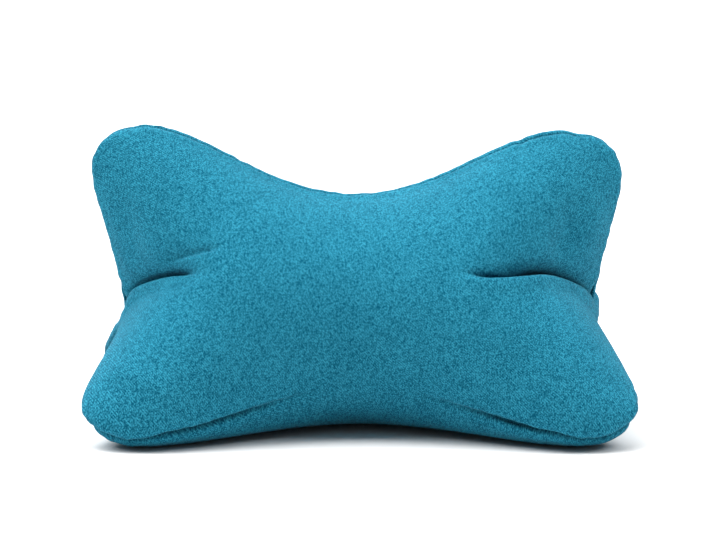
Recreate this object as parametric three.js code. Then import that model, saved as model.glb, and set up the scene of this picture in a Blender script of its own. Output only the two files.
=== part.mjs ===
// Reading pillow: three alike bone-shaped panels of cloth, sewn edge to edge along three seams and
// filled. It lies on one panel, with one seam as its ridge and another panel facing the front.
// Millimetres, +X along the pillow, -Y to the front, +Z up, lying on the plane z = 0.

import * as THREE from 'three';

// The axis joins the two end points, where all three seams and panels meet.
const AXIS_HEIGHT = 88;

// Each seam, and each panel's middle line, lies in a half plane through the axis. Seen square on it
// is a bone's edge: from the end point straight out to a round lobe, down a straight slope and
// round the waist. x runs from the waist outwards, reach is the distance from the axis.
const SEAM_LINE = {
  left: { endX: 199, lobeX: 179, lobeReach: 120, lobeRadius: 49, waistReach: 106, waistRadius: 145 },
  right: { endX: 203, lobeX: 179, lobeReach: 118, lobeRadius: 50, waistReach: 106, waistRadius: 80 },
};
const MIDDLE_LINE = {
  left: { endX: 199, lobeX: 102, lobeReach: 51, lobeRadius: 63, waistReach: 103, waistRadius: 160 },
  right: { endX: 203, lobeX: 111, lobeReach: 55, lobeRadius: 61, waistReach: 103, waistRadius: 190 },
};

// Angles are about the axis, from the front (-Y) upwards. The two lower seams are pressed up and
// in a little by the surface that they lie next to, so they reach a little less than the ridge.
const LOWER_FRONT_SEAM = { angle: -28, reachShare: 0.955 };
const RIDGE_SEAM = { angle: 90, reachShare: 1 };
const LOWER_BACK_SEAM = { angle: 208, reachShare: 0.955 };
const SAME_SEAM_FULL_TURN_ON = { ...LOWER_FRONT_SEAM, angle: LOWER_FRONT_SEAM.angle + 360 };
const PANELS = [
  { name: 'front', middle: 33, from: LOWER_FRONT_SEAM, to: RIDGE_SEAM },
  { name: 'back', middle: 147, from: RIDGE_SEAM, to: LOWER_BACK_SEAM },
  { name: 'base', middle: 270, from: LOWER_BACK_SEAM, to: SAME_SEAM_FULL_TURN_ON },
];

// The surface below presses the base flat, and around the flat the cloth turns up softly within
// this height.
const TURN_UP_HEIGHT = 5;

// How the cloth goes from a panel's middle line to its seams: a power of the share of the way
// across. Near the ends it is nearly straight, so a valley is left between two lobes; at the waist
// the cloth stays round and only lifts close to the seam.
const ACROSS_POWER = { end: 0.9, waist: 2.4 };

// The sewn seams: a narrow groove along each, which fades in over the first share of the way from
// an end point to the waist.
const SEAM_GROOVE = { depth: 2.2, shareOfPanel: 0.035, fadeIn: 0.25 };

// Creases that run from an end point inwards along a panel. length and halfWidth are shares of the
// way to the waist and across the panel, drift is how far the crease leaves the middle line.
const CREASES = [
  { panel: 'front', side: 'left', depth: 7, length: 0.5, halfWidth: 0.07, drift: -0.16 },
  { panel: 'front', side: 'right', depth: 10, length: 0.72, halfWidth: 0.07, drift: -0.2 },
  { panel: 'back', side: 'left', depth: 6, length: 0.55, halfWidth: 0.08, drift: 0.1 },
  { panel: 'back', side: 'right', depth: 6, length: 0.5, halfWidth: 0.08, drift: 0.12 },
];

// The mesh: stations along each half of the pillow, and strips on each half of a panel.
const STATIONS_PER_HALF = 34;
const LAST_STATION = 2 * STATIONS_PER_HALF;
const STRIPS_PER_HALF_PANEL = 9;

const CLOTH = { color: 0x2f8fad, roughness: 0.95, metalness: 0 };

/** Half of a bone's edge, from the end point to the waist, as a path of lines and arcs. */
function halfEdge({ endX, lobeX, lobeReach, lobeRadius, waistReach, waistRadius }) {
  // The slope touches the lobe's circle and the waist's hollow circle, and slopeNormal points
  // from the lobe's middle to where it does.
  const hollowReach = waistReach + waistRadius;
  const toHollow = new THREE.Vector2(-lobeX, hollowReach - lobeReach);
  const slopeNormal = toHollow.angle() - Math.acos((lobeRadius + waistRadius) / toHollow.length());
  const toEnd = new THREE.Vector2(endX - lobeX, -lobeReach);
  const endNormal = toEnd.angle() - 2 * Math.PI + Math.acos(lobeRadius / toEnd.length());
  const edge = new THREE.Path();
  edge.moveTo(endX, 0);
  edge.lineTo(lobeX + lobeRadius * Math.cos(endNormal), lobeReach + lobeRadius * Math.sin(endNormal));
  edge.absarc(lobeX, lobeReach, lobeRadius, endNormal, slopeNormal, false);
  edge.lineTo(
    -waistRadius * Math.cos(slopeNormal),
    hollowReach - waistRadius * Math.sin(slopeNormal),
  );
  edge.absarc(0, hollowReach, waistRadius, slopeNormal - Math.PI, -Math.PI / 2, true);
  return edge;
}

/** Points of a whole line from the left end point to the right one, evenly along each half. */
function wholeLine({ left, right }) {
  const leftPoints = halfEdge(left).getSpacedPoints(STATIONS_PER_HALF);
  const rightPoints = halfEdge(right).getSpacedPoints(STATIONS_PER_HALF);
  const mirrored = leftPoints.map(({ x, y }) => new THREE.Vector2(-x, y));
  return [...mirrored, ...rightPoints.reverse().slice(1)];
}

/** Places across a panel, from -1 at one seam through 0 to 1 at the next one. */
function placesAcross() {
  const inner = 1 - SEAM_GROOVE.shareOfPanel;
  const places = [-1];
  for (let k = -STRIPS_PER_HALF_PANEL; k <= STRIPS_PER_HALF_PANEL; k += 1) {
    places.push((inner * k) / STRIPS_PER_HALF_PANEL);
  }
  return places;
}

/** Share of the way from the nearer end point to the waist, 0 to 1. */
function shareFromEnd(station) {
  return Math.min(station, LAST_STATION - station) / STATIONS_PER_HALF;
}

/** Depth of the creases of a panel at a station and a place across it. */
function creaseDepth(panel, station, across) {
  const side = station < STATIONS_PER_HALF ? 'left' : 'right';
  const fromEnd = shareFromEnd(station);
  let depth = 0;
  for (const crease of CREASES) {
    if (crease.panel !== panel.name || crease.side !== side || fromEnd >= crease.length) continue;
    const way = fromEnd / crease.length;
    const offLine = (across - crease.drift * way) / crease.halfWidth;
    depth += crease.depth * Math.sin(Math.PI * Math.sqrt(way)) * Math.exp(-offLine * offLine);
  }
  return depth;
}

/** Height above the surface that the pillow lies on, of cloth that would hang at a given height. */
function restingHeight(height) {
  if (height <= -TURN_UP_HEIGHT) return 0;
  if (height >= TURN_UP_HEIGHT) return height;
  return (height + TURN_UP_HEIGHT) ** 2 / (4 * TURN_UP_HEIGHT);
}

const seamLine = wholeLine(SEAM_LINE);
const middleLine = wholeLine(MIDDLE_LINE);

/** Point of the cloth on a panel, at a station along and a place across. */
function clothPoint(panel, station, across) {
  const seam = across < 0 ? panel.from : panel.to;
  const share = Math.abs(across);
  const fromEnd = shareFromEnd(station);
  const lift = share ** THREE.MathUtils.lerp(ACROSS_POWER.end, ACROSS_POWER.waist, fromEnd);
  const middle = middleLine[station];
  const edge = seamLine[station];
  const angle = THREE.MathUtils.degToRad(THREE.MathUtils.lerp(panel.middle, seam.angle, share));
  const x = THREE.MathUtils.lerp(middle.x, edge.x, lift);
  const groove = share === 1 ? SEAM_GROOVE.depth * Math.min(1, fromEnd / SEAM_GROOVE.fadeIn) : 0;
  const reach = THREE.MathUtils.lerp(middle.y, edge.y * seam.reachShare, lift)
    - groove - creaseDepth(panel, station, across);
  return new THREE.Vector3(
    x,
    -reach * Math.cos(angle),
    restingHeight(AXIS_HEIGHT + reach * Math.sin(angle)),
  );
}

/** The filled pillow as one closed skin: a ring of points at each station, a fan at each end. */
function pillowGeometry() {
  const ring = PANELS.flatMap((panel) => placesAcross().map((across) => ({ panel, across })));
  const points = [new THREE.Vector3(-SEAM_LINE.left.endX, 0, AXIS_HEIGHT)];
  for (let station = 1; station < LAST_STATION; station += 1) {
    for (const { panel, across } of ring) points.push(clothPoint(panel, station, across));
  }
  points.push(new THREE.Vector3(SEAM_LINE.right.endX, 0, AXIS_HEIGHT));

  const at = (station, k) => 1 + (station - 1) * ring.length + (k % ring.length);
  const rightEnd = points.length - 1;
  const corners = [];
  for (let k = 0; k < ring.length; k += 1) {
    corners.push(0, at(1, k), at(1, k + 1));
    for (let station = 1; station < LAST_STATION - 1; station += 1) {
      const [a, b] = [at(station, k), at(station + 1, k)];
      const [c, d] = [at(station + 1, k + 1), at(station, k + 1)];
      corners.push(a, b, c, a, c, d);
    }
    corners.push(rightEnd, at(LAST_STATION - 1, k + 1), at(LAST_STATION - 1, k));
  }

  const geometry = new THREE.BufferGeometry().setFromPoints(points);
  geometry.setIndex(corners);
  geometry.computeBoundingBox();
  const middle = geometry.boundingBox.getCenter(new THREE.Vector3());
  geometry.translate(-middle.x, -middle.y, 0);
  geometry.computeVertexNormals();
  return geometry;
}

const pillow = new THREE.Mesh(pillowGeometry(), new THREE.MeshStandardMaterial(CLOTH));
pillow.name = 'pillow';

const readingPillow = new THREE.Group();
readingPillow.name = 'reading_pillow';
readingPillow.add(pillow);

export default readingPillow;
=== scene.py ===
# %% [markdown]
# # A reading pillow, sewn and filled
# The real pillow is three alike bone-shaped panels of one cloth. They are sewn edge to edge along
# three seams and filled with fibre until they stand up by themselves. It lies on one panel, a
# second one faces us, and one seam runs along the top as a ridge.
#
# This lesson makes it the same way: cut a flat panel, sew three of them, blow them up with the
# cloth simulation, then add what a needle and thread leave behind, and dye the cloth.

# %% The frame that everything is built around
import math

import bpy
import numpy as np
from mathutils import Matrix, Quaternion, Vector
from mathutils.bvhtree import BVHTree


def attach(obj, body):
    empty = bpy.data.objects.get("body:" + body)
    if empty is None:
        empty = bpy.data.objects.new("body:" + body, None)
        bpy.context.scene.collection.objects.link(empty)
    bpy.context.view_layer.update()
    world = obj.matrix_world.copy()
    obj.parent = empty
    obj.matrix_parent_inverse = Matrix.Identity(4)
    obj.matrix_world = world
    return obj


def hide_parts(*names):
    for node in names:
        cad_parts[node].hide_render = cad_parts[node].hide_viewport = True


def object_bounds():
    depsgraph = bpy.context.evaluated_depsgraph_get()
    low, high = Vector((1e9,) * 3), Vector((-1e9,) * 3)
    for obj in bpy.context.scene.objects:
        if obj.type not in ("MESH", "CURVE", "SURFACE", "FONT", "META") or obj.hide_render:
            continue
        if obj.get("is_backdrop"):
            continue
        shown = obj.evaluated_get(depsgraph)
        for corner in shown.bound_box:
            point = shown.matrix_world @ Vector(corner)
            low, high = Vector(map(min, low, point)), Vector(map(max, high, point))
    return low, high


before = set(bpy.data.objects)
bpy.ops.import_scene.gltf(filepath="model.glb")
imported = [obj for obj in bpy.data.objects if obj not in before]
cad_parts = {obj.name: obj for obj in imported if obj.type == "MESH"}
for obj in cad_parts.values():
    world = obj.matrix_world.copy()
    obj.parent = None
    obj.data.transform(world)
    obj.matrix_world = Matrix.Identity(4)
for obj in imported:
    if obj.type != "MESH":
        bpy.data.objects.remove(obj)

cad_low, cad_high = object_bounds()
print("CAD box", [round(value, 4) for value in (*cad_low, *cad_high)])

# %% [markdown]
# ## The cutting pattern
# A maker draws half of the bone's edge and folds the paper: from the point where the three panels
# meet, straight out to a round lobe, over the lobe, down a straight slope and round the waist.
# It could be a drawn curve with many points. Lines and circles that touch each other say the same
# with six sizes, and each size means something, so it is easy to make the waist tighter. The left
# and right halves differ a little, as they do on the real pillow.

# %% Half of the panel's edge
WAIST_HALF_WIDTH = 0.095
LEFT_HALF = dict(end_x=0.260, lobe_x=0.184, lobe_y=0.089, lobe_radius=0.058, waist_radius=0.10)
RIGHT_HALF = dict(end_x=0.260, lobe_x=0.176, lobe_y=0.085, lobe_radius=0.063, waist_radius=0.05)
POINTS_PER_PIECE = 200


def straight(start, stop):
    """Evenly spaced points on the line from start to stop."""
    share = np.linspace(0, 1, POINTS_PER_PIECE)[:, None]
    return start + (stop - start) * share


def arc(centre, radius, start, stop):
    """Points of a circle's arc: the centre plus the radius times the cosine and sine of the angle."""
    angle = np.linspace(start, stop, POINTS_PER_PIECE)
    return centre + radius * np.stack([np.cos(angle), np.sin(angle)], axis=1)


def half_edge(end_x, lobe_x, lobe_y, lobe_radius, waist_radius):
    """Half of the edge, from the end point to the waist, x from end_x to 0.

    The slope is the inner tangent of the lobe's circle and the waist's hollow circle: its normal
    makes an angle with the line between the centres whose cosine is the sum of the radii over
    their distance. The end piece is the tangent from the end point to the lobe's outer side.
    """
    lobe = np.array([lobe_x, lobe_y])
    hollow = np.array([0, WAIST_HALF_WIDTH + waist_radius])
    across = hollow - lobe
    slope = math.atan2(across[1], across[0])
    slope -= math.acos((lobe_radius + waist_radius) / math.hypot(*across))
    slope_normal = np.array([math.cos(slope), math.sin(slope)])

    end = np.array([end_x, 0])
    out = end - lobe
    side = math.atan2(out[1], out[0]) + math.acos(lobe_radius / math.hypot(*out))
    touch = lobe + lobe_radius * np.array([math.cos(side), math.sin(side)])
    pieces = [
        straight(end, touch),
        arc(lobe, lobe_radius, side, slope),
        straight(lobe + lobe_radius * slope_normal, hollow - waist_radius * slope_normal),
        arc(hollow, waist_radius, slope - math.pi, -math.pi / 2),
    ]
    return np.concatenate([pieces[0]] + [piece[1:] for piece in pieces[1:]])


left_edge = half_edge(**LEFT_HALF) * [-1, 1]
right_edge = half_edge(**RIGHT_HALF)
upper_edge = np.concatenate([left_edge, right_edge[::-1][1:]])
steps = np.hypot(*np.diff(upper_edge, axis=0).T)
edge_length = np.concatenate([[0], np.cumsum(steps)])
SEAM_LENGTH = edge_length[-1]
print("seam length", round(SEAM_LENGTH, 4), "m, panel", 2 * WAIST_HALF_WIDTH, "m wide at the waist")

# %% [markdown]
# ## A grid that fills the panel
# Cloth folds best on even, square cells that run with its threads. A triangulated outline would
# fold along its random edges. A Coons patch stretches a grid between four sides, so the panel is
# given four corners, one on each lobe, and keeps its curved edge exactly.

# %% The flat panel
CELLS_ALONG, CELLS_ACROSS = 64, 36
CORNER_ANGLE = math.radians(42)


def edge_at(distance):
    """Point of the upper edge at a distance along it from the left end point."""
    x = np.interp(distance, edge_length, upper_edge[:, 0])
    return np.stack([x, np.interp(distance, edge_length, upper_edge[:, 1])], axis=-1)


def corner_distance(half, side):
    """Distance along the edge of a lobe's corner, the lobe's centre plus its radius at an angle."""
    corner = np.array([
        side * (half["lobe_x"] + half["lobe_radius"] * math.cos(CORNER_ANGLE)),
        half["lobe_y"] + half["lobe_radius"] * math.sin(CORNER_ANGLE),
    ])
    return edge_length[np.argmin(np.hypot(*(upper_edge - corner).T))]


def flat_panel(along, across):
    """Coons patch: the blend of bottom and top sides, plus the blend of left and right sides,
    less the blend of the four corners, at the shares along and across the panel."""
    left_corner, right_corner = corner_distance(LEFT_HALF, -1), corner_distance(RIGHT_HALF, 1)
    top = edge_at(left_corner + (right_corner - left_corner) * along)
    bottom = top * [1, -1]
    up = np.abs(2 * across - 1)
    mirror = np.stack([np.ones_like(across), np.where(across < 0.5, -1, 1)], axis=1)
    left = edge_at(left_corner * up) * mirror
    right = edge_at(SEAM_LENGTH - (SEAM_LENGTH - right_corner) * up) * mirror
    s, t = along[:, None, None], across[None, :, None]
    sides = (1 - t) * bottom[:, None] + t * top[:, None] + (1 - s) * left[None] + s * right[None]
    corners = (1 - s) * (1 - t) * bottom[0] + s * (1 - t) * bottom[-1]
    corners = corners + (1 - s) * t * top[0] + s * t * top[-1]
    return sides - corners


panel = flat_panel(np.linspace(0, 1, CELLS_ALONG + 1), np.linspace(0, 1, CELLS_ACROSS + 1))
cell = np.linalg.norm(np.diff(panel, axis=0), axis=-1).mean()
print("panel grid", panel.shape[:2], "cells of about", round(1000 * cell, 1), "mm")

# %% [markdown]
# ## Three grids that share their edges
# The pillow is three panel grids, and the upper edge of each is sewn to the lower edge of the next.
# Everything below asks the same of such a set: which vertices meet, where the surface faces, and
# what a point's neighbours are. A small class answers for any number of cells, so the coarse
# grid of the simulation and the fine one of the finished skin use the same words.

# %% The sewn grids
PANELS = 3
LEAST_WEIGHT = 0.01


def added_up(numbers, values, count):
    """For each number below count, the sum of the rows of values that carry it."""
    return np.stack([np.bincount(numbers, column, count) for column in values.T], axis=1)


class SewnGrids:
    """Three grids with their seams: numbering, shared vertices, normals and smoothing."""

    def __init__(self, along, across):
        self.along, self.across = along, across
        self.per_panel = (along + 1) * (across + 1)
        numbers = np.arange(self.per_panel).reshape(along + 1, across + 1)
        middle = across // 2
        left, right = numbers[0], numbers[-1]
        self.upper = np.concatenate([left[middle:-1], numbers[:-1, -1], right[: middle - 1 : -1]])
        self.lower = np.concatenate([left[middle:0:-1], numbers[:-1, 0], right[: middle + 1]])
        self.panel_faces = np.stack(
            [numbers[:-1, :-1], numbers[1:, :-1], numbers[1:, 1:], numbers[:-1, 1:]], axis=-1
        ).reshape(-1, 4)
        starts = np.arange(PANELS) * self.per_panel
        self.loose_faces = np.concatenate([self.panel_faces + start for start in starts])
        self.threads = np.concatenate([
            np.stack([self.upper + start, self.lower + next_start], axis=1)
            for start, next_start in zip(starts, np.roll(starts, -1))
        ])
        same_as = np.arange(PANELS * self.per_panel)
        same_as[self.threads.max(axis=1)] = self.threads.min(axis=1)
        for end in (self.upper[0], self.upper[-1]):
            same_as[end + starts] = end
        same_as = same_as[same_as]
        _, self.first, self.shared = np.unique(same_as, return_index=True, return_inverse=True)
        self.faces = self.shared[self.loose_faces]
        sides = np.concatenate([self.faces[:, [k, (k + 1) % 4]] for k in range(4)])
        self.edges = np.unique(np.sort(sides, axis=1), axis=0)

    def joined(self, loose):
        """Values of the shared vertices: the mean of the loose vertices that meet in each."""
        count = np.bincount(self.shared)[:, None]
        return added_up(self.shared, loose.reshape(len(self.shared), -1), len(count)) / count

    def loose(self, joined):
        """Values of the shared vertices as three grids again."""
        return joined[self.shared].reshape(PANELS, self.along + 1, self.across + 1, -1)

    def normals(self, places):
        """Outward unit normals: the sum of the faces' cross products of their two diagonals."""
        corners = places[self.faces]
        crossed = np.cross(corners[:, 2] - corners[:, 0], corners[:, 3] - corners[:, 1])
        total = sum(added_up(self.faces[:, k], crossed, len(places)) for k in range(4))
        return total / np.linalg.norm(total, axis=1, keepdims=True)

    def smoothed(self, places, weight, rounds):
        """Moves each vertex half of its weight towards its neighbours' mean, round after round."""
        places = places.copy()
        weight = np.where(weight > LEAST_WEIGHT, weight, 0)[:, None]
        one, other = self.edges[(weight[self.edges, 0] > 0).any(axis=1)].T
        count = np.bincount(np.concatenate([one, other]), minlength=len(places)).clip(1)[:, None]
        for _ in range(rounds):
            total = added_up(one, places[other], len(places))
            total += added_up(other, places[one], len(places))
            places += 0.5 * weight * (total / count - places)
        return places


coarse = SewnGrids(CELLS_ALONG, CELLS_ACROSS)
print(PANELS * coarse.per_panel, "loose vertices,", coarse.first.size, "once sewn")

# %% [markdown]
# ## Three panels round a core
# Before they are sewn, the three panels stand around an empty core like the sides of a tent. In
# Blender's cloth a loose edge between two vertices, with no face, is a sewing spring: it pulls its
# two ends together like a thread. So the mesh gets one such edge for each pair that meets.

# %% Panels in space
# Front, back and base: degrees from the front upwards.
PANEL_ANGLES = [math.radians(angle) for angle in (30, 150, 270)]
CORE_GAP = 0.004


def stand_up(flat, angle, core):
    """A flat panel in space: its centre lies at the core's distance along the outward direction,
    and the panel's width runs along the direction of growing angle."""
    outward = np.array([0, -math.cos(angle), math.sin(angle)])
    width = np.array([0, math.sin(angle), math.cos(angle)])
    place = outward * core + flat[..., 1:] * width
    place[..., 0] = flat[..., 0]
    return place


core = upper_edge[:, 1].max() / math.sqrt(3) + CORE_GAP
start = np.concatenate([stand_up(panel.reshape(-1, 2), angle, core) for angle in PANEL_ANGLES])
print("panels", round(core, 4), "m from the core,", len(coarse.threads), "threads")

# %% [markdown]
# ## Sewing and filling
# Fibre filling presses outwards everywhere, so the cloth solver's pressure stands in for it. While
# the threads close, the panels swell, the lobes round off and the cloth creases by itself where
# three lobes meet, which no hand-made shape does as well. Gravity lays the pillow flat on the
# surface. The cloth is simulated ten times too large, because the solver's own distances are made
# for clothes, and shrunk afterwards.

# %% New objects
def scene_object(name, data):
    """A new object of the scene, which shows a mesh, a lamp or a camera."""
    made = bpy.data.objects.new(name, data)
    bpy.context.scene.collection.objects.link(made)
    return made


def mesh_object(name, places, edges, faces):
    """A new mesh in the scene, from arrays or lists of places, edges and faces."""
    mesh = bpy.data.meshes.new(name)
    mesh.from_pydata(*(np.asarray(rows).tolist() for rows in (places, edges, faces)))
    mesh.update()
    return scene_object(name, mesh)


def level_square(name, half_width, height):
    """A new level square in the scene, over the middle of the frame."""
    places = half_width * np.array([(-1, -1, 0), (1, -1, 0), (1, 1, 0), (-1, 1, 0)]) + [0, 0, height]
    return mesh_object(name, places, [], [(0, 1, 2, 3)])


def size_of(places):
    """Length, depth and height of some places together, to a tenth of a millimetre."""
    return (places.max(0) - places.min(0)).round(4)


# %% Simulate
SIM_SCALE = 10
SIM_FRAMES = 100
SURFACE_HALF_WIDTH, SURFACE_GAP = 1, 0.002
CLOTH_SETTINGS = dict(
    quality=6,
    mass=0.3,
    tension_stiffness=15,
    compression_stiffness=15,
    shear_stiffness=5,
    bending_stiffness=6,
    tension_damping=5,
    compression_damping=5,
    shear_damping=5,
    bending_damping=0.5,
    air_damping=1,
    use_sewing_springs=True,
    sewing_force_max=0,
    use_pressure=True,
    uniform_pressure_force=8,
)


def sewn_and_filled(place, polygons, sewing):
    """Runs the cloth simulation and returns the vertices' last places, in metres."""
    cloth_piece = mesh_object("cut_panels", place * SIM_SCALE, sewing, polygons)
    height = SIM_SCALE * (place[:, 2].min() - SURFACE_GAP)
    surface = level_square("surface_under_it", SIM_SCALE * SURFACE_HALF_WIDTH, height)
    surface.modifiers.new("collision", "COLLISION")
    surface.collision.thickness_outer = 0.02
    surface.collision.cloth_friction = 5

    cloth = cloth_piece.modifiers.new("cloth", "CLOTH")
    for name, value in CLOTH_SETTINGS.items():
        setattr(cloth.settings, name, value)
    cloth.settings.effector_weights.gravity = 1.0
    cloth.collision_settings.use_self_collision = False
    cloth.collision_settings.distance_min = 0.01
    cloth.point_cache.frame_start = 1
    cloth.point_cache.frame_end = SIM_FRAMES + 1

    scene = bpy.context.scene
    scene.frame_start, scene.frame_end = 1, SIM_FRAMES
    for number in range(1, SIM_FRAMES + 1):
        scene.frame_set(number)
    result = cloth_piece.evaluated_get(bpy.context.evaluated_depsgraph_get())
    places = np.zeros(3 * len(place), np.float32)
    result.data.vertices.foreach_get("co", places)
    for helper in (cloth_piece, surface):
        bpy.data.objects.remove(helper)
    scene.frame_set(1)
    return places.reshape(-1, 3).astype(float) / SIM_SCALE


filled = sewn_and_filled(start, coarse.loose_faces, coarse.threads)
gap = np.linalg.norm(filled[coarse.threads[:, 0]] - filled[coarse.threads[:, 1]], axis=1)
print("filled size", size_of(filled), "widest gap of a thread", gap.max().round(4))

# %% [markdown]
# ## Closing the seams and pressing out the middle
# The threads leave gaps of a millimetre or two. Each seam's two edges are moved to their middle, so
# that they can become one row of vertices. The simulation may also buckle the cloth across the
# middle of the panels, where the waist holds it back, and a buckle is a matter of chance. The real
# panels are smooth there, so that stretch is smoothed along the pillow, much as a hand strokes a
# cushion flat. Then the waist is drawn in until its ridge stands as high as the real one.
#
# A hand works hardest in one place and less and less around it. The bell curve says so in one
# line, and nearly every step from here on is a move times a bell of some distance.

# %% Close, press, lay down and draw in the waist
PRESS_REACH = 0.075
PRESS_ROUNDS = 30
WAIST_RIDGE_HEIGHT = 0.1910
WAIST_DRAW_REACH = 0.085


def bell(distance, reach, power=2):
    """Bell curve: 1 at no distance and 1/e at the reach, as e to the minus (distance over reach)
    to the power. A higher power gives a flatter top and steeper sides."""
    return np.exp(-((distance / reach) ** power))


grids = coarse.loose(coarse.joined(filled))
press = bell(grids[:, 1:-1, :, :1], PRESS_REACH, 4)
for _ in range(PRESS_ROUNDS):
    neighbours = (grids[:, :-2] + grids[:, 2:]) / 2
    grids[:, 1:-1] += 0.5 * press * (neighbours - grids[:, 1:-1])
sewn = coarse.joined(grids)
low, high = sewn.min(0), sewn.max(0)
sewn -= [(low[0] + high[0]) / 2, (low[1] + high[1]) / 2, low[2]]
ridge = coarse.loose(sewn)[0].reshape(-1, 3)[coarse.upper]
waist_height = np.interp(0, ridge[:, 0], ridge[:, 2])
drawn = bell(sewn[:, :1], WAIST_DRAW_REACH)
sewn[:, 1:] *= 1 - (1 - WAIST_RIDGE_HEIGHT / waist_height) * drawn
print("laid down, size", size_of(sewn), "ridge at the waist was", waist_height.round(4))

# %% [markdown]
# ## The flat it lies on
# Cloth alone hangs between the two lower seams like a hammock, but the real filling is heavy and
# presses the base flat on the surface. So the base panel's heights are drawn down: what was low
# becomes the flat, and what was higher rises more steeply to the seams. The upper right lobe of
# the real pillow holds less filling and sags a little, which moves its points down in proportion.

# %% Press the base, sag one lobe
BASE_PRESS, BASE_REACH = 0.012, 0.050
BASE_EDGE = 0.012
BASE_ROUNDS = 3
SAG, SAG_FROM, SAG_TO = 0.008, 0.09, 0.17


def smooth_step(share):
    """0 below 0, 1 above 1, and a smooth rise between: 3 u^2 - 2 u^3."""
    share = share.clip(0, 1)
    return share**2 * (3 - 2 * share)


def seam_coordinates(pattern, sewn_grids):
    """For each pattern point, the distance to the nearest point of the panel's edge, that point's
    distance along the seam, and whether it is on the upper edge."""
    points = pattern.reshape(-1, 2)
    found = []
    for numbers in (sewn_grids.upper, sewn_grids.lower):
        edge = points[numbers]
        along = np.concatenate([[0], np.cumsum(np.linalg.norm(np.diff(edge, axis=0), axis=1))])
        apart = np.linalg.norm(points[:, None] - edge[None], axis=2)
        nearest = apart.argmin(axis=1)
        found.append((apart[np.arange(len(points)), nearest], along[nearest]))
    is_upper = found[0][0] <= found[1][0]
    distance = np.where(is_upper, found[0][0], found[1][0])
    return distance, np.where(is_upper, found[0][1], found[1][1]), is_upper


def on_skin(sewn_grids, *panels):
    """Values of the panels' points, read at the shared vertices: one array or one number for each
    panel, or one array for all of them."""
    each = panels * PANELS if len(panels) == 1 else panels
    each = [np.broadcast_to(np.ravel(values), sewn_grids.per_panel) for values in each]
    return np.concatenate(each)[sewn_grids.first]


distance = seam_coordinates(panel, coarse)[0].reshape(panel.shape[:2])
inside = 1 - bell(distance, BASE_EDGE)
grids = coarse.loose(sewn)
height = grids[2, ..., 2]
drawn_down = np.interp(height, [0, BASE_PRESS, BASE_REACH, 1], [0, 0, BASE_REACH, 1])
grids[2, ..., 2] += inside * (drawn_down - height)
sewn = coarse.smoothed(coarse.joined(grids), on_skin(coarse, 0, 0, inside), BASE_ROUNDS)
sagging = smooth_step((sewn[:, 0] - SAG_FROM) / (SAG_TO - SAG_FROM))
sewn[:, 2] -= SAG * sagging * (sewn[:, 2] / sewn[:, 2].max()) ** 2
print("base flat at", sewn[:, 2].min().round(4), "m, lobes", sewn[:, 2].max().round(4), "m high")

# %% [markdown]
# ## Plump lobes
# Loose fibre pushes into the corners of the real lobes, where the simulation leaves them as thin as
# a tent's corner. More pressure would blow up the waist as well. So the coarse skin is smoothed near
# the seams, which blunts that edge, then moved outwards there, which gives the lobe its width back,
# and a round bump fills its middle. All of it fades out towards the waist and the end points.
#
# No two lobes of a real pillow are filled alike, and a simulation can't know which got more. So
# the last moves are seven soft pushes, each a centre, a reach and a move of the cloth near it.

# %% Round the lobes
LOBE_REACH = 0.026
LOBE_ROUNDS = 3
LOBE_PUFF = 0.004
LOBE_FILL, LOBE_FILL_REACH = 0.006, 0.055
# Centre, reach and move.
LOBE_MOVES = [
    ((-0.220, -0.115, 0.030), 0.038, (-0.0045, 0, -0.001)),
    ((0.195, 0.010, 0.130), 0.045, (0.0045, 0, 0)),
    ((0.200, 0.045, 0.105), 0.027, (0.0205, 0, 0)),
    ((-0.195, 0.000, 0.108), 0.040, (-0.0045, 0, 0)),
    ((0.215, 0.000, 0.235), 0.040, (0.0045, 0, 0.002)),
    ((-0.225, 0.000, 0.240), 0.035, (-0.0055, 0, 0.0025)),
    ((0.218, -0.112, 0.006), 0.022, (0.005, 0, 0)),
]
WAIST_SHARE_REACH = 0.11
END_SHARE_REACH = 0.045


def lobe_share(pattern):
    """How far a pattern point belongs to a lobe: 0 at the waist and at the end points, near 1 over
    a lobe, as one less a bell curve of the distance to the waist, times the same to the end."""
    from_waist = bell(pattern[..., 0], WAIST_SHARE_REACH, 4)
    end_x = np.where(pattern[..., 0] < 0, -LEFT_HALF["end_x"], RIGHT_HALF["end_x"])
    from_end = bell(np.hypot(pattern[..., 0] - end_x, pattern[..., 1]), END_SHARE_REACH)
    return (1 - from_waist) * (1 - from_end)


def lobe_fill(pattern):
    """A round bump over each lobe's centre, as a bell curve of the distance to the nearest one."""
    on_left = pattern[..., 0] < 0
    lobe_x = np.where(on_left, LEFT_HALF["lobe_x"], RIGHT_HALF["lobe_x"])
    lobe_y = np.where(on_left, LEFT_HALF["lobe_y"], RIGHT_HALF["lobe_y"])
    away = np.hypot(np.abs(pattern[..., 0]) - lobe_x, np.abs(pattern[..., 1]) - lobe_y)
    return bell(away, LOBE_FILL_REACH)


near_lobe = on_skin(coarse, bell(distance, LOBE_REACH) * lobe_share(panel))
sewn = coarse.smoothed(sewn, near_lobe, LOBE_ROUNDS)
swell = LOBE_PUFF * near_lobe + LOBE_FILL * on_skin(coarse, lobe_fill(panel))
sewn += coarse.normals(sewn) * swell[:, None]
for centre, reach, move in LOBE_MOVES:
    near = bell(np.linalg.norm(sewn - centre, axis=1), reach)
    sewn += near[:, None] * move
print("lobes rounded, size", size_of(sewn))

# %% [markdown]
# ## Finer cloth
# The simulated grid has cells of about 8 mm, too coarse for a seam. A Subdivision modifier would
# refine it evenly everywhere. Here each panel is read as a smooth B-spline surface and sampled
# again, with its rows packed closer along the edges, where the seams need them, and along the
# middle, where the creases will be. The flat pattern is sampled in the same way, so every point
# still knows its place on the cut cloth.

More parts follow.
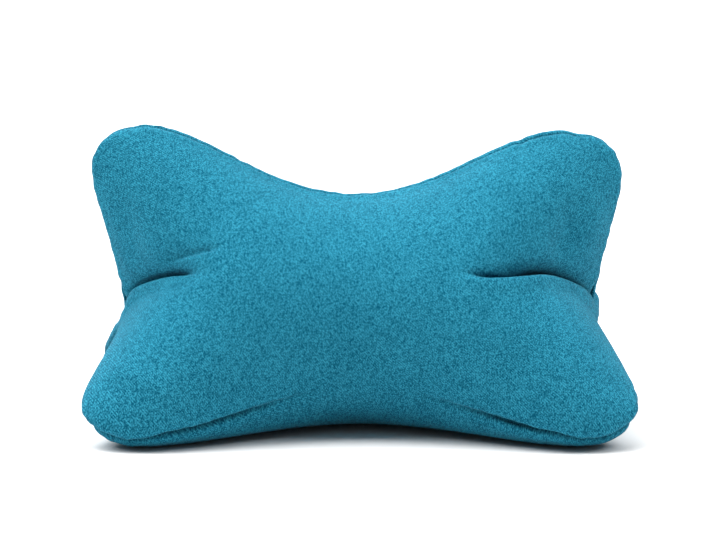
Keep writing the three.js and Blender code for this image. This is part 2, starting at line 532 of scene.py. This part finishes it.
# %% Read the panels more finely
FINE_ALONG, FINE_ACROSS = 224, 144
ALONG_PACKING, EDGE_PACKING, MIDDLE_PACKING = 0.55, 0.10, 0.50


def packed(count, ends, middle):
    """Shares from 0 to 1, closer together near both ends, and near the middle too if asked: the
    even share less a sine wave and less another one of half the length."""
    turn = 2 * math.pi * np.linspace(0, 1, count + 1)
    return (turn - ends * np.sin(turn) - middle * np.sin(2 * turn) / 2) / (2 * math.pi)


def b_spline(values, shares):
    """Cubic B-spline through the first axis of values, read at shares of its length: a weighted sum
    of the four points around each share. A mirrored point before and after keeps both ends."""
    before, after = 2 * values[:1] - values[1:2], 2 * values[-1:] - values[-2:-1]
    padded_values = np.concatenate([before, values, after])
    place = shares * (len(values) - 1)
    first = np.minimum(place.astype(int), len(values) - 2)
    u = (place - first).reshape((-1,) + (1,) * (values.ndim - 1))
    weights = [
        (1 - u) ** 3 / 6,
        (3 * u**3 - 6 * u**2 + 4) / 6,
        (-3 * u**3 + 3 * u**2 + 3 * u + 1) / 6,
        u**3 / 6,
    ]
    return sum(weight * padded_values[first + k] for k, weight in enumerate(weights))


def finer(grid):
    """A panel's grid sampled again, first along the pillow and then across."""
    along = b_spline(grid, packed(FINE_ALONG, ALONG_PACKING, 0))
    across = packed(FINE_ACROSS, EDGE_PACKING, MIDDLE_PACKING)
    return b_spline(along.swapaxes(0, 1), across).swapaxes(0, 1)


fine = SewnGrids(FINE_ALONG, FINE_ACROSS)
pattern = finer(panel)
print(len(fine.first), "vertices,", len(fine.faces), "faces")

# %% [markdown]
# ## Where the creases run
# Where two lobes of a panel meet, their cloth has nowhere to go and folds in. The simulation folds
# it too, but a crease is the one thing that everybody looks at, so here each one is laid down
# along a short path on the flat panel, and the simulated ones on the front are stroked out
# first. Paths could lie in space, but on the pattern they stay on the cloth wherever it goes.

# %% Paths on the front panel
PATH_POINTS = 100
LEFT_FOLD = [
    (-0.262, -0.004),
    (-0.240, 0.011),
    (-0.214, 0.009),
    (-0.191, 0.005),
    (-0.170, 0.001),
    (-0.140, -0.006),
]
RIGHT_FOLD = [
    (0.080, -0.008),
    (0.109, -0.012),
    (0.129, -0.011),
    (0.151, -0.004),
    (0.170, 0.002),
    (0.211, 0.006),
    (0.240, 0.008),
    (0.262, 0.004),
]
SECOND_LEFT_FOLD = [(-0.190, 0.019), (-0.150, 0.015), (-0.118, 0.014)]
SHORT_RIGHT_HOLLOW = [(0.104, 0.026), (0.118, 0.010), (0.130, -0.002)]
UPPER_RIGHT_HOLLOW = [(0.178, 0.010), (0.184, 0.049), (0.190, 0.085)]
UPPER_LEFT_HOLLOW = [(-0.214, 0.012), (-0.208, 0.056), (-0.208, 0.100)]
LOWER_LEFT_RIDGE = [(-0.220, -0.088), (-0.190, -0.100), (-0.155, -0.114)]
LOWER_RIGHT_HOLLOW = [(0.110, -0.145), (0.126, -0.100), (0.146, -0.050)]


def beside_path(points, path, fade_in, fade_out):
    """How far each point lies above a path (below it is negative), and a strength that fades in
    and out along the path."""
    line = b_spline(np.array(path), np.linspace(0, 1, PATH_POINTS))
    steps = np.linalg.norm(np.diff(line, axis=0), axis=1)
    along = np.concatenate([[0], np.cumsum(steps)])
    nearest = np.linalg.norm(points[:, None] - line[None], axis=2).argmin(axis=1)
    direction = np.gradient(line, axis=0)
    direction = (direction / np.linalg.norm(direction, axis=1, keepdims=True))[nearest]
    away = points - line[nearest]
    place = along[nearest] + (direction * away).sum(axis=1)
    offset = direction[:, 0] * away[:, 1] - direction[:, 1] * away[:, 0]
    fade = smooth_step(place / fade_in) * smooth_step((along[-1] - place) / fade_out)
    return offset, fade


# %% Stroke out the simulated creases of the front
STROKE_REACH, STROKE_ROUNDS = 0.030, 10
STROKE_SEAM_GAP = 0.020
STROKE_FADE = 0.020

strokes = np.zeros(coarse.per_panel)
for path in (LEFT_FOLD, RIGHT_FOLD):
    offset, fade = beside_path(panel.reshape(-1, 2), path, STROKE_FADE, STROKE_FADE)
    strokes = np.maximum(strokes, fade * bell(offset, STROKE_REACH))
strokes *= smooth_step(distance.ravel() / STROKE_SEAM_GAP)
sewn = coarse.smoothed(sewn, on_skin(coarse, strokes, 0, 0), STROKE_ROUNDS)
skin = fine.joined(np.stack([finer(grid) for grid in coarse.loose(sewn)]))
print("front stroked smooth where", int((strokes > 0.5).sum()), "coarse vertices lie")

# %% [markdown]
# ## Round crests
# Inside the pillow each seam holds a stiff double edge, and the cloth rolls over it softly. The
# simulation lets two panels meet in a knife edge, which has no room for a groove. A bevel would
# cut new faces that no longer know their place on the pattern, so the crest is smoothed instead,
# more the nearer a point lies to the panel's edge on the flat pattern.

# %% Round the crests
CREST_REACH = 0.012
CREST_ROUNDS = 60

seam_distance, seam_place, on_upper = seam_coordinates(pattern, fine)
skin = fine.smoothed(skin, on_skin(fine, bell(seam_distance, CREST_REACH)), CREST_ROUNDS)
print("crests rounded, size", size_of(skin))

# %% [markdown]
# ## Seams that have rolled over
# On the real pillow the ridge seam has rolled a few millimetres to the front, and under the front
# lobes the seam has been pushed down until it nearly touches the surface. The shape stays as it is,
# only the cloth slides over it. So each vertex takes small steps along the surface, and after each
# step it is set back onto the nearest point of the shape before the slide.

# %% Slide the cloth at two seams
SLIDE_STEPS = 6
LEAST_SLIDE = 0.0002
# Place along the pillow, reach and size.
RIDGE_SLIDES = [(-0.100, 0.085, 0.0050), (0.120, 0.070, 0.0065)]
RIDGE_SLIDE_REACH = 0.018
FRONT_SLIDES = [
    (-0.215, 0.048, 0.0110),
    (-0.110, 0.060, 0.0040),
    (0.110, 0.060, 0.0055),
    (0.215, 0.055, 0.0110),
]
FRONT_SLIDE_REACH = 0.028
FRONT_SLIDE_TOP = 0.075


def along_surface(direction, normals):
    """The part of a direction that lies in the surface: it less its share along the normal."""
    return direction - (normals @ direction)[:, None] * normals


def slid(places, direction, amount):
    """The places moved along the surface in the given direction by each one's amount. The tree of
    the old shape's faces finds the nearest point for one vertex at a time."""
    shape = BVHTree.FromPolygons(places.tolist(), fine.faces.tolist())
    moved = places.copy()
    which = np.nonzero(amount > LEAST_SLIDE)[0]
    for _ in range(SLIDE_STEPS):
        surface_way = along_surface(direction, fine.normals(moved))
        moved[which] += (amount[:, None] * surface_way)[which] / SLIDE_STEPS
        for k in which:
            moved[k] = shape.find_nearest(moved[k])[0]
    return moved


def slide_amount(slides, x):
    """Size of a slide at x: the largest of some bumps, each a place, a reach and a size."""
    return np.max([size * bell(x - place, reach, 4) for place, reach, size in slides], axis=0)


near_edge = bell(seam_distance, RIDGE_SLIDE_REACH)
near_ridge = on_skin(fine, near_edge * on_upper, near_edge * ~on_upper, 0)
skin = slid(skin, np.array([0, -1, 0]), slide_amount(RIDGE_SLIDES, skin[:, 0]) * near_ridge)

near_edge = bell(seam_distance, FRONT_SLIDE_REACH)
near_front_seam = on_skin(fine, near_edge * ~on_upper, 0, near_edge * on_upper)
near_front_seam *= smooth_step(2 - skin[:, 2] / FRONT_SLIDE_TOP)
skin = slid(skin, np.array([0, 0, -1]), slide_amount(FRONT_SLIDES, skin[:, 0]) * near_front_seam)
print("seams slid, size", size_of(skin))

# %% [markdown]
# ## Creases
# Seen close, a crease isn't a ditch. The cloth above it sinks towards it softly, the cloth below it
# comes out as a lip and hangs over a little, and between them a narrow slit stays dark. A crease
# that is as wide above as below is a soft hollow, and one with a negative depth a soft ridge. The
# power is 2 for a soft hollow, and nearer 1 where the cloth above turns into the crease sharply.
# Each of the two long creases is laid down twice: narrow along its whole length, then wide, where
# the upper lobe leans over it. Sculpting by hand could do this once. A row of numbers for each
# crease does it again after every change of the pillow.

# %% Fold the creases
# Depth, reach of the cloth above and below, and power; the slit's depth, the lip's height and how
# far it hangs over; and the lengths of the fades at the left end and the right one.
CREASE_SIZES = ("depth", "above", "below", "power", "slit", "lip", "hang", "fade_in", "fade_out")
FRONT_CREASES = [
    (LEFT_FOLD, (0.0040, 0.010, 0.0028, 2, 0.0055, 0.0018, 0.0025, 0.012, 0.045)),
    (LEFT_FOLD, (0.0050, 0.018, 0.0028, 1.2, 0, 0, 0, 0.070, 0.045)),
    (RIGHT_FOLD, (0.0050, 0.010, 0.0030, 2, 0.013, 0.0022, 0.0040, 0.055, 0.012)),
    (RIGHT_FOLD, (0.0130, 0.036, 0.0030, 1.3, 0, 0, 0, 0.060, 0.075)),
    (SECOND_LEFT_FOLD, (0.0036, 0.008, 0.0028, 1.2, 0.0012, 0, 0, 0.020, 0.020)),
    (SHORT_RIGHT_HOLLOW, (0.0015, 0.007, 0.007, 2, 0, 0, 0, 0.020, 0.020)),
    (UPPER_RIGHT_HOLLOW, (0.0062, 0.017, 0.015, 2, 0, 0, 0, 0.030, 0.030)),
    (UPPER_LEFT_HOLLOW, (0.0030, 0.014, 0.014, 2, 0, 0, 0, 0.030, 0.030)),
    (LOWER_LEFT_RIDGE, (-0.0018, 0.008, 0.008, 2, 0, 0, 0, 0.020, 0.020)),
    (LOWER_RIGHT_HOLLOW, (0.0024, 0.018, 0.018, 2, 0, 0, 0, 0.040, 0.040)),
]
# How far under the path the lip and the overhang lie, and their widths, both counted in reaches of
# the cloth below.
LIP_PLACE, LIP_WIDTH = 3, 2
HANG_PLACE, HANG_WIDTH = 2, 2
# The slit's width, and the width of the shade painted into the colour along it; a slit this deep gets
# the full painted shade.
SLIT_WIDTH, SLIT_SHADE_WIDTH = 0.0026, 0.0048
FULLY_DARK_SLIT = 0.012

flat = pattern.reshape(-1, 2)
height, hanging, in_slit = np.zeros((3, fine.per_panel))
for path, sizes in FRONT_CREASES:
    fold = dict(zip(CREASE_SIZES, sizes))
    below = fold["below"]
    offset, fade = beside_path(flat, path, fold["fade_in"], fold["fade_out"])
    width = np.where(offset > 0, fold["above"], below)
    power = np.where(offset > 0, fold["power"], 2)
    hollow = fold["depth"] * bell(abs(offset), width, power)
    lip = fold["lip"] * bell(offset + LIP_PLACE * below, LIP_WIDTH * below)
    slit = fold["slit"] * bell(offset, SLIT_WIDTH)
    height += fade * (lip - slit - hollow)
    hanging += fade * fold["hang"] * bell(offset + HANG_PLACE * below, HANG_WIDTH * below)
    # Painted shade in the slit: the colour along it is drawn darker, more for a deeper slit.
    dark = min(1, fold["slit"] / FULLY_DARK_SLIT)
    in_slit = np.maximum(in_slit, dark * fade * bell(offset, SLIT_SHADE_WIDTH))
normals = fine.normals(skin)
upwards = along_surface(np.array([0, 0, 1]), normals)
skin += on_skin(fine, height, 0, 0)[:, None] * normals
skin += on_skin(fine, hanging, 0, 0)[:, None] * upwards
print("creases folded, deepest", round(-1000 * height.min(), 1), "mm")

# %% [markdown]
# ## What the seam does to the cloth
# The thread pulls the crest into a narrow groove, the cloth rolls over softly on both sides of it,
# and it gathers into small uneven puckers. In one place the ridge seam is gathered much harder. A
# picture of a seam could be laid over the cloth, but its rim would stay smooth. As real relief it
# is a function of two numbers that every point has: how far it lies from the panel's edge on the
# flat pattern, and how far along the seam. Under the waist, the two lower seams lie hidden on the
# surface, so they fade out there. A pucker may reach below the surface, so at the end the pillow is
# set down on it again.

# %% The groove, the rolls beside it and the puckers
# GROOVE_SHADE_WIDTH is the width of the shade painted into the colour along the groove.
GROOVE_DEPTH, GROOVE_WIDTH, GROOVE_SHADE_WIDTH = 0.0042, 0.0018, 0.0017
ROLL_HEIGHT, ROLL_PLACE, ROLL_WIDTH = 0.0012, 0.0070, 0.0050
PUCKER_HEIGHT, PUCKER_REACH = 0.0011, 0.012
PUCKER_LENGTHS = (0.031, 0.019, 0.013)
# A wave of puckers swells and fades once in this many of its own lengths.
WAVES_PER_SWELL = 6.3
HIDDEN_SEAM_REACH = 0.085
# Where the ridge seam is gathered hardest: place on the pattern, reach and depth.
GATHER_PLACE, GATHER_REACH, GATHER_DEPTH = (0.183, 0.148), 0.0080, 0.0050
PUCKER_SEED = 11
rng = np.random.default_rng(PUCKER_SEED)


def waves(place, lengths):
    """Sum of sine waves of the given lengths with random phases, which drift in and out."""
    total = np.zeros_like(place)
    for length in lengths:
        phase, drift = rng.uniform(0, 2 * math.pi, 2)
        swell = 0.5 + 0.5 * np.sin(2 * math.pi * place / (WAVES_PER_SWELL * length) + drift)
        total += swell * np.sin(2 * math.pi * place / length + phase)
    return total / len(lengths)


seam_waves = [waves(seam_place, PUCKER_LENGTHS) for _ in range(PANELS)]
open_middle = 1 - bell(pattern[..., 0].ravel(), HIDDEN_SEAM_REACH, 4)
seam_shown = [np.where(on_upper, 1, open_middle), 1, np.where(on_upper, open_middle, 1)]
beside_gather = [np.linalg.norm(flat * [1, side] - GATHER_PLACE, axis=1) for side in (1, -1)]
gathers = [-GATHER_DEPTH * bell(away, GATHER_REACH) for away in beside_gather] + [0]
groove = -GROOVE_DEPTH * bell(seam_distance, GROOVE_WIDTH)
roll = ROLL_HEIGHT * bell(seam_distance - ROLL_PLACE, ROLL_WIDTH)
relief, in_fold = [], []
for k in range(PANELS):
    pucker = np.where(on_upper, seam_waves[k], seam_waves[k - 1])
    puckered = PUCKER_HEIGHT * pucker * bell(seam_distance, PUCKER_REACH)
    relief.append((groove + roll + puckered) * seam_shown[k] + gathers[k])
    # Painted shade along the groove: in_fold is 1 at its bottom and 0 outside.
    in_fold.append(bell(seam_distance, GROOVE_SHADE_WIDTH) * seam_shown[k])
# The slits' painted shade joins it on the front panel.
in_fold[0] = np.maximum(in_fold[0], in_slit)
skin += fine.normals(skin) * on_skin(fine, *relief)[:, None]
skin[:, 2] -= skin[:, 2].min()
print("seams sewn in, size", size_of(skin))

# %% [markdown]
# ## The piece
# The finished skin becomes one mesh. Its UV map is the cut cloth itself, in metres, with the three
# panels side by side, so a weave that is drawn on it runs as straight as on the real panels. An
# automatic unwrapping would cut the cloth elsewhere and stretch the weave. A second value tells
# each point how deep it lies in a seam or a slit, for the shade there.

# %% One padded piece
PANEL_SHIFT = 0.7

pillow = mesh_object("pillow_cover", skin, [], fine.faces)
pillow.data.shade_smooth()
pattern_map = pillow.data.uv_layers.new(name="pattern")
loop_points = np.concatenate([
    flat[fine.panel_faces.ravel()] + [0, k * PANEL_SHIFT] for k in range(PANELS)
])
pattern_map.data.foreach_set("uv", loop_points.astype(np.float32).ravel())
fold_map = pillow.data.attributes.new("in_fold", "FLOAT", "POINT")
fold_map.data.foreach_set("value", on_skin(fine, *in_fold).astype(np.float32))
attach(pillow, "root")
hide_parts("pillow")
print("piece of", 2 * len(pillow.data.polygons), "triangles")

# %% [markdown]
# ## Words for nodes
# A weave is arithmetic: which yarn am I on, and where across it? In the node editor that becomes
# dozens of Math nodes. Wrapping a socket in a small class lets Python's own signs add them, so that
# the formulas below read as formulas. Any other node comes from one method, which takes its type,
# its settings and then its sockets.

# %% Sockets that calculate
class Socket:
    """A node's output. The signs + - * / ** % and < on it add Math nodes."""

    def __init__(self, material_nodes, output):
        self.nodes, self.output = material_nodes, output

    def __add__(self, other):
        return self.nodes.maths("ADD", self, other)

    def __sub__(self, other):
        return self.nodes.maths("SUBTRACT", self, other)

    def __rsub__(self, other):
        return self.nodes.maths("SUBTRACT", other, self)

    def __mul__(self, other):
        return self.nodes.maths("MULTIPLY", self, other)

    def __truediv__(self, other):
        return self.nodes.maths("DIVIDE", self, other)

    def __pow__(self, other):
        return self.nodes.maths("POWER", self, other)

    def __mod__(self, other):
        return self.nodes.maths("FLOORED_MODULO", self, other)

    def __lt__(self, other):
        return self.nodes.maths("LESS_THAN", self, other)

    def floor(self):
        """The whole number below."""
        return self.nodes.maths("FLOOR", self)

    __radd__ = __add__
    __rmul__ = __mul__


# %% The nodes of a material
# The numbers of a colour Mix node's sockets: the share, the first colour, the second one and the
# result.
MIX_SHARE, MIX_FIRST, MIX_SECOND, MIX_RESULT = 0, 6, 7, 2


class MaterialNodes:
    """The nodes of one material."""

    def __init__(self, name):
        self.material = bpy.data.materials.new(name)
        self.material.use_nodes = True
        self.tree = self.material.node_tree
        self.shader = self.tree.nodes["Principled BSDF"]

    def fill(self, node, sockets):
        """Gives a node's sockets their values, or links them."""
        for name, value in sockets.items():
            if isinstance(value, Socket):
                self.tree.links.new(value.output, node.inputs[name])
            else:
                node.inputs[name].default_value = value

    def add(self, kind, settings, sockets, output=0):
        """Adds a node from its type, its settings and its sockets, and returns one output."""
        node = self.tree.nodes.new(kind)
        for name, value in settings.items():
            setattr(node, name, value)
        self.fill(node, sockets)
        return Socket(self, node.outputs[output])

    def maths(self, operation, *values):
        """One Math node."""
        return self.add("ShaderNodeMath", {"operation": operation}, dict(enumerate(values)))

    def either(self, share, low, high):
        """Blend of two numbers: low where the share is 0, high where it is 1."""
        return low + (high - low) * share

    def blend(self, share, first, second, blend_type="MIX"):
        """Blend of two colours: the first where the share is 0, and where it is 1 the second or,
        with the type MULTIPLY, their product."""
        settings = {"data_type": "RGBA", "blend_type": blend_type}
        sockets = {MIX_SHARE: share, MIX_FIRST: first, MIX_SECOND: second}
        return self.add("ShaderNodeMix", settings, sockets, MIX_RESULT)

    def noise(self, vector, size, detail):
        """Noise between 0 and 1 with grains of the given size."""
        sockets = {"Vector": vector, "Scale": 1 / size, "Detail": detail}
        return self.add("ShaderNodeTexNoise", {"noise_dimensions": "3D"}, sockets)


# %% [markdown]
# ## The cloth
# The real cover is a twill of two shades: pale yarn one way, dark turquoise yarn the other, each
# spun from fibres that took the dye unevenly. Every yarn passes over two crossings and under two,
# one step further in each row, which draws fine diagonal ribs. A picture of cloth would repeat and
# blur when it is looked at closely. Here the crossings are counted on the cut pattern, so the
# weave runs straight on each panel and meets at the seams as it does on real cloth.
#
# The tone of a crossing is set by which yarn is on top, by a random number for each stretch
# of yarn that lies on top, and by slow changes along the cloth. Its height, a hump across
# the yarn and along it, feeds the bump, and the colour is painted darker where the hump is
# low, as painted shade between the yarns. Loose fibre ends catch light at the rims, which is sheen.
# Deep in the seams and slits hardly any light arrives, so the mesh's own in_fold value, 1 at the
# bottom of a groove and 0 outside, darkens the tone there.

# %% Where the yarns cross
YARN = 0.00056
TWILL_REPEAT, YARNS_PASSED_OVER = 4, 2

cloth = MaterialNodes("melange_twill")
flat_place = cloth.add("ShaderNodeUVMap", {"uv_map": "pattern"}, {})
parts = [cloth.add("ShaderNodeSeparateXYZ", {}, {"Vector": flat_place}, k) for k in range(2)]
x, y = parts[0] / YARN, parts[1] / YARN
column, row = x.floor(), y.floor()
across_warp, across_weft = x - column, y - row

diagonal = column + row
step = diagonal % TWILL_REPEAT
warp_on_top = step < YARNS_PASSED_OVER
stretch = (diagonal / TWILL_REPEAT).floor()
yarn = cloth.either(warp_on_top, row + 0.5, column)
across = cloth.either(warp_on_top, across_weft, across_warp)
along = step % YARNS_PASSED_OVER + cloth.either(warp_on_top, across_warp, across_weft)
along = along / YARNS_PASSED_OVER
hump = (1 - (across * 2 - 1) ** 2) * (1 - (along * 2 - 1) ** 4)
print("weave of", len(cloth.tree.nodes), "nodes,", round(1 / YARN / 100), "yarns per centimetre")

# %% The dyed yarns
DARK_YARN = (0.0002, 0.088, 0.156, 1)
PALE_YARN = (0.038, 0.355, 0.510, 1)
TONE_OF_WEFT, TONE_OF_WARP = 0.30, 0.52
WEFT_SPREAD, WARP_SPREAD = 0.75, 1.10
CLOUD_SIZE, CLOUD_SPREAD = 0.030, 0.22
STREAK_SIZE, STREAK_SPREAD = 0.025, 0.25
# From one yarn to the next, this many grains further in the noise, so that no two are alike.
STREAK_SHIFT = 3.7
# Painted shade: how much darker the colour is drawn in the gaps between the yarns, and in seams and
# slits.
GAP_SHADE, FOLD_SHADE = 0.34, 0.70
WEAVE_HEIGHT, WEAVE_STRENGTH = 0.00022, 0.5
SHEEN_COLOUR = (0.75, 0.95, 1.0, 1)

stretch_place = cloth.add("ShaderNodeCombineXYZ", {}, {"X": yarn, "Y": stretch})
dye = cloth.add("ShaderNodeTexWhiteNoise", {"noise_dimensions": "2D"}, {"Vector": stretch_place})
yarn_place = cloth.add("ShaderNodeCombineXYZ", {}, {
    "X": yarn * STREAK_SHIFT * STREAK_SIZE,
    "Y": cloth.either(warp_on_top, parts[0], parts[1]),
})
streak = cloth.noise(yarn_place, STREAK_SIZE, 1)
cloud = cloth.noise(flat_place, CLOUD_SIZE, 2)
tone = cloth.either(warp_on_top, TONE_OF_WEFT, TONE_OF_WARP)
tone = tone + (dye - 0.5) * cloth.either(warp_on_top, WEFT_SPREAD, WARP_SPREAD)
tone = tone + (streak - 0.5) * STREAK_SPREAD + (cloud - 0.5) * CLOUD_SPREAD
tone = cloth.add("ShaderNodeClamp", {}, {"Value": tone})
yarn_colour = cloth.blend(tone, DARK_YARN, PALE_YARN)
in_fold_value = cloth.add("ShaderNodeAttribute", {"attribute_name": "in_fold"}, {}, "Fac")
# Painted shade: the colour is drawn darker where the hump is low, between the yarns, and where
# in_fold is high, in seams and slits.
shade = (1 - GAP_SHADE * (1 - hump)) * (1 - FOLD_SHADE * in_fold_value)
grey = cloth.add("ShaderNodeCombineXYZ", {}, {"X": shade, "Y": shade, "Z": shade})
relief_normal = cloth.add("ShaderNodeBump", {}, {
    "Strength": WEAVE_STRENGTH,
    "Distance": WEAVE_HEIGHT,
    "Height": hump,
})
cloth.fill(cloth.shader, {
    "Base Color": cloth.blend(1.0, yarn_colour, grey, "MULTIPLY"),
    "Normal": relief_normal,
    "Roughness": 0.80,
    "Specular IOR Level": 0.05,
    "Sheen Weight": 0.06,
    "Sheen Roughness": 0.35,
    "Sheen Tint": SHEEN_COLOUR,
})
pillow.data.materials.append(cloth.material)
print("cloth of", len(cloth.tree.nodes), "nodes")

# %% [markdown]
# ## Floor
# The pillow was photographed on white paper that is lit until it is pure white, so only the
# contact shadow shows the floor. A floor that glows by itself would be white too, but it would
# wash out that shadow. So this one is a plain grey, chosen so that the light just makes it white.
# A lighter one would throw too much light back at the pillow from below.

# %% Paper under the pillow
FLOOR_HALF_WIDTH = 25.0
FLOOR_GREY = (0.73, 0.73, 0.73, 1)

floor = level_square("floor", FLOOR_HALF_WIDTH, 0)
floor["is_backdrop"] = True
paper = MaterialNodes("white_paper")
paper.fill(paper.shader, {"Base Color": FLOOR_GREY, "Roughness": 1.0, "Specular IOR Level": 0.0})
floor.data.materials.append(paper.material)
print("floor", 2 * FLOOR_HALF_WIDTH, "m wide")

# %% [markdown]
# ## Light
# The rims and the top are lighter than the middle, and the front under the middle is dark: two
# wide soft lamps stood high at the sides, the left one brighter, with another overhead, a weaker
# one behind and hardly any light from the camera's side. Sun lamps with a wide spread do this and
# light the whole floor evenly, which area lamps don't.

# %% World and lamps
WORLD_STRENGTH = 0.22
# Name, azimuth, elevation and spread in degrees, strength.
LAMPS = [
    ("right side", 90, 55, 45, 2.3),
    ("left side", -90, 55, 45, 2.9),
    ("overhead", -120, 82, 50, 2.5),
    ("behind", -165, 35, 45, 1.6),
]


def direction_to(azimuth, elevation):
    """Unit vector from the pillow outwards, for degrees from the front to the right and upwards."""
    turn, rise = math.radians(azimuth), math.radians(elevation)
    return Vector((math.sin(turn) * math.cos(rise), -math.cos(turn) * math.cos(rise), math.sin(rise)))


def turned_outwards(name, data, outwards):
    """A new object of the scene whose own Z axis points outwards, so that a lamp or a camera, which
    look along their own -Z axis, look back at the pillow."""
    made = scene_object(name, data)
    made.rotation_mode = "QUATERNION"
    made.rotation_quaternion = outwards.to_track_quat("Z", "Y")
    return made


def soft_sun(name, azimuth, elevation, spread, strength):
    """A sun lamp, seen from the pillow at an azimuth from the front to the right and an elevation,
    all in degrees. Its spread makes it as soft as a wide studio lamp."""
    lamp = bpy.data.lights.new(name, "SUN")
    lamp.angle = math.radians(spread)
    lamp.energy = strength
    turned_outwards(name, lamp, direction_to(azimuth, elevation))


for lamp_sizes in LAMPS:
    soft_sun(*lamp_sizes)
world = bpy.data.worlds.new("studio")
world.use_nodes = True
background = world.node_tree.nodes["Background"]
background.inputs["Color"].default_value = (1, 1, 1, 1)
background.inputs["Strength"].default_value = WORLD_STRENGTH
bpy.context.scene.world = world
bpy.context.scene.view_settings.view_transform = "Standard"
print(len(LAMPS), "lamps of strength", [strength for *_, strength in LAMPS])

# %% [markdown]
# ## Camera
# The photograph was taken from about two metres, a little above the pillow, with a long lens. The
# angles and the lens were found by laying the model's outline over the photographed one.

# %% The camera
CAMERA_DISTANCE, CAMERA_AZIMUTH, CAMERA_ELEVATION, CAMERA_ROLL = 2.068, -2.5, 7.7, 0.5
CAMERA_AIM = Vector((0, 0, 0.132))
CAMERA_LENS, SENSOR_WIDTH = 120.0, 36.0

camera_data = bpy.data.cameras.new("camera")
camera_data.lens = CAMERA_LENS
camera_data.sensor_width = SENSOR_WIDTH
outwards = direction_to(CAMERA_AZIMUTH, CAMERA_ELEVATION)
camera = turned_outwards("camera", camera_data, outwards)
camera.rotation_quaternion @= Quaternion((0, 0, 1), math.radians(CAMERA_ROLL))
camera.location = CAMERA_AIM + outwards * CAMERA_DISTANCE
bpy.context.scene.camera = camera
print("camera at", [round(value, 3) for value in camera.location])

# %% [markdown]
# ## The solid's box and the visual box
# Solids and looks share one frame, and the visual model stands out past the solid only by the few
# millimetres of its puckers and rolls. Both boxes are printed, so that they can be compared.

# %% The size, and the last line
look_low, look_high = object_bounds()
sizes = {"cad": [list(cad_low), list(cad_high)], "look": [list(look_low), list(look_high)]}
print("CAD box", sizes["cad"], "visual box", sizes["look"])
